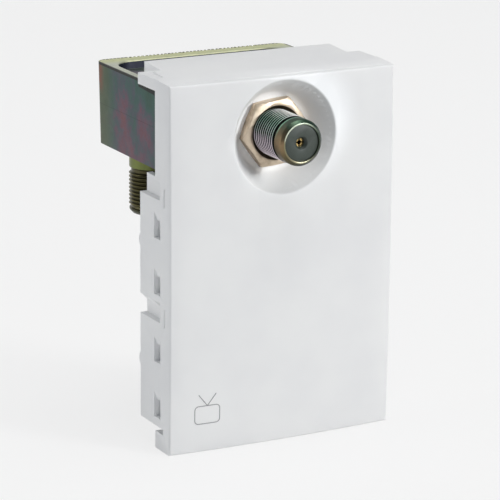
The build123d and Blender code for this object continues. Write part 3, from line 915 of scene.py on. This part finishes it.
def solder_mask():
    """Green mask over tracks that stand a little proud, with the weave of the glass cloth in it."""
    material, shader, place = finish("solder_mask", IOR=1.5, Coat_Weight=0.3)
    across = place.axis("X")
    along = place.axis("Y")
    track = (across.waves(TRACK_LENGTHS[0]) * along.waves(TRACK_LENGTHS[1])).rise(0.2, 0.3)
    weave = across.waves(WEAVE_LENGTH) * along.waves(WEAVE_LENGTH)
    drive(shader, track.mix(MASK_GREEN, TRACK_GREEN), "Base Color")
    drive(shader, 0.30 + 0.08 * weave, "Roughness")
    drive(shader, (track + 0.08 * weave).bump(0.03 * MM, 0.7), "Normal")
    return material


finish_node("circuit_board", solder_mask())

# Cores of the signal tap and of the matching transformer: ferrite powder, pressed and fired,
# matt and nearly black. Both stand on the circuit board.
FERRITE = (46, 44, 46)
FERRITE_LIGHT = (62, 60, 60)


def mottled(name, low, high, size, lustre, metal=0.0, grain=0.01 * MM):
    """A plain finish: two near colours in clouds of one size, over a fine grain of some height."""
    material, shader, place = finish(name, Metallic=metal)
    clouds = place.noise(size, detail=4)
    drive(shader, clouds.rise(0.3, 0.7).mix(low, high), "Base Color")
    drive(shader, lustre + 0.15 * clouds, "Roughness")
    drive(shader, place.noise(size / 8, detail=2).bump(grain, 0.6), "Normal")
    return material


ferrite = mottled("ferrite", FERRITE, FERRITE_LIGHT, 1.2 * MM, 0.62)
for node in ("tap_core", "match_core"):
    finish_node(node, ferrite)

# Windings: copper wire under a thin coat of clear orange enamel. Two loop through the tap core,
# one is wound round the matching core, and the choke is wound on air and lies on the board.
ENAMEL = (168, 84, 38)
ENAMEL_LIGHT = (186, 104, 50)

enamel = mottled("enamelled_copper", ENAMEL, ENAMEL_LIGHT, 1.0 * MM, 0.22, metal=0.85, grain=0.002 * MM)
for node in ("tap_primary", "tap_secondary", "match_winding", "choke_coil"):
    finish_node(node, enamel)

# Chip capacitors and resistors: small blocks of tan ceramic, and of alumina under a black glaze,
# soldered flat on the circuit board.
CERAMIC = (168, 138, 104)
CERAMIC_LIGHT = (186, 156, 120)
GLAZE = (30, 30, 34)
GLAZE_LIGHT = (44, 44, 48)

finish_node("coupling_capacitors", mottled("capacitor_ceramic", CERAMIC, CERAMIC_LIGHT, 0.6 * MM, 0.42))
finish_node("load_resistors", mottled("resistor_glaze", GLAZE, GLAZE_LIGHT, 0.6 * MM, 0.3))

# Solder joints: tin alloy that holds the contacts' tails to the circuit board, and the board's
# edge to the box. It sets bright, with a slightly dull skin.
TIN = (184, 186, 188)
TIN_SHADE = (160, 162, 166)

solder = mottled("solder_tin", TIN, TIN_SHADE, 0.7 * MM, 0.24, metal=1.0)
for node in ("contact_solder", "ground_solder"):
    finish_node(node, solder)

# Studio: a seamless sweep of pale paper, below the part and up behind it, with the part hanging
# just clear of its floor. A small key light stands at the upper right, with soft boxes overhead,
# in front and on the left, a narrow spot on the dish, and a dim blue room all round.
FLOOR_HEIGHT = -37.6 * MM
SWEEP_WIDTH = 3.0
SWEEP_FRONT = -1.4
SWEEP_BACK = 0.9
SWEEP_BEND = 0.35
SWEEP_RISE = 1.6
SWEEP_HAIR = 0.01
PAPER_GREY = (236, 236, 236)
PAPER_GLOW = (240, 240, 240)
GLOW_STRENGTH = 1.1
GLOW_SHARE = 0.8

bpy.ops.mesh.primitive_plane_add(size=1, location=(0, (SWEEP_FRONT + SWEEP_BACK) / 2, FLOOR_HEIGHT))
sweep = bpy.context.object
sweep.name = "studio_sweep"
sweep.scale = (SWEEP_WIDTH, SWEEP_BACK - SWEEP_FRONT, 1)
bpy.ops.object.transform_apply(location=True, rotation=True, scale=True)
bpy.ops.object.mode_set(mode="EDIT")
rear = SWEEP_BACK - SWEEP_HAIR
select_edges(sweep, lambda place: place.y > rear)
bpy.ops.mesh.extrude_region_move(TRANSFORM_OT_translate={"value": (0, 0, SWEEP_RISE)})
select_edges(sweep, lambda place: place.y > rear and place.z < FLOOR_HEIGHT + SWEEP_HAIR)
bpy.ops.mesh.bevel(offset=SWEEP_BEND, segments=16, affect="EDGES")
bpy.ops.object.mode_set(mode="OBJECT")
bpy.ops.object.shade_smooth()


def studio_paper():
    """Pale paper, lit by the lamps and also by itself where the camera or a reflection sees it."""
    material, shader, place = finish("studio_paper", Base_Color=linear(*PAPER_GREY), Roughness=0.9)
    tree = material.node_tree
    camera = place.node("ShaderNodeLightPath", {}, {}, "Is Camera Ray")
    glossy = Signal(tree, camera.socket.node.outputs["Is Glossy Ray"])
    colour = {"Color": linear(*PAPER_GLOW), "Strength": GLOW_STRENGTH}
    glow = place.node("ShaderNodeEmission", {}, colour, "Emission")
    share = GLOW_SHARE * camera.maths("MAXIMUM", camera, glossy)
    blend = share.node("ShaderNodeMixShader", {}, {"Fac": share}, "Shader")
    tree.links.new(shader.outputs["BSDF"], blend.socket.node.inputs[1])
    tree.links.new(glow.socket, blend.socket.node.inputs[2])
    tree.links.new(blend.socket, tree.nodes["Material Output"].inputs["Surface"])
    return material


sweep.data.materials.append(studio_paper())


def add_lamp(kind, name, place, aim, power, colour):
    """A lamp at a place, turned to face another."""
    bpy.ops.object.light_add(type=kind, location=place)
    lamp = bpy.context.object
    lamp.name = name
    lamp.data.energy = power
    lamp.data.color = colour
    lamp.rotation_euler = (Vector(aim) - Vector(place)).to_track_quat("-Z", "Y").to_euler()
    return lamp.data


def soft_box(name, place, size, power, colour=(1, 1, 1)):
    """A square lamp that faces the origin, which lies near the middle of the part."""
    lamp = add_lamp("AREA", name, place, (0, 0, 0), power, colour)
    lamp.shape = "SQUARE"
    lamp.size = size


soft_box("key_light", (0.81, -1.14, 0.57), 0.33, 11.2, (1.0, 0.99, 0.975))
soft_box("top_light", (0.10, -0.05, 0.85), 0.5, 3.3, (1.0, 0.985, 0.97))
soft_box("left_light", (-0.8, 0.3, 0.1), 0.5, 2.6)
soft_box("front_light", (-0.20, -0.95, 0.25), 0.5, 0.8, (0.97, 0.99, 1.0))

# The spot comes from the key light's side, and lightens the dish and a little of the face round it
SPOT_PLACE = (0.24, -0.51, 0.20)
SPOT_AIM = (-1.2 * MM, 0, DISH_AXIS_HEIGHT - 1.2 * MM)
SPOT_CONE = radians(2.15)
spot = add_lamp("SPOT", "dish_light", SPOT_PLACE, SPOT_AIM, 6.2, (0.9, 0.96, 1.0))
spot.spot_size = SPOT_CONE
spot.spot_blend = 0.35
spot.shadow_soft_size = 4 * MM

ROOM_BLUE = (0.72, 0.87, 1.0, 1)
ROOM_STRENGTH = 0.13
world = bpy.data.worlds.new("studio_room")
world.use_nodes = True
room = world.node_tree.nodes["Background"]
room.inputs["Color"].default_value = ROOM_BLUE
room.inputs["Strength"].default_value = ROOM_STRENGTH
bpy.context.scene.world = world
bpy.context.scene.view_settings.view_transform = "Standard"

# Camera: a long lens, a little above the part and to its left. Its place, its turn and the lens
# were fitted to the corners of the cover and of the box in the photograph.
CAMERA_PLACE = (-0.25531573, -0.47465562, 0.14909738)
CAMERA_TURN = (74.5805755, -0.4505574, -27.7878007)
bpy.ops.object.camera_add(location=CAMERA_PLACE)
camera = bpy.context.object
camera.rotation_euler = [radians(turn) for turn in CAMERA_TURN]
camera.data.lens = 200.0819
camera.data.sensor_width = 36
camera.data.clip_start = 0.01
bpy.context.scene.camera = camera
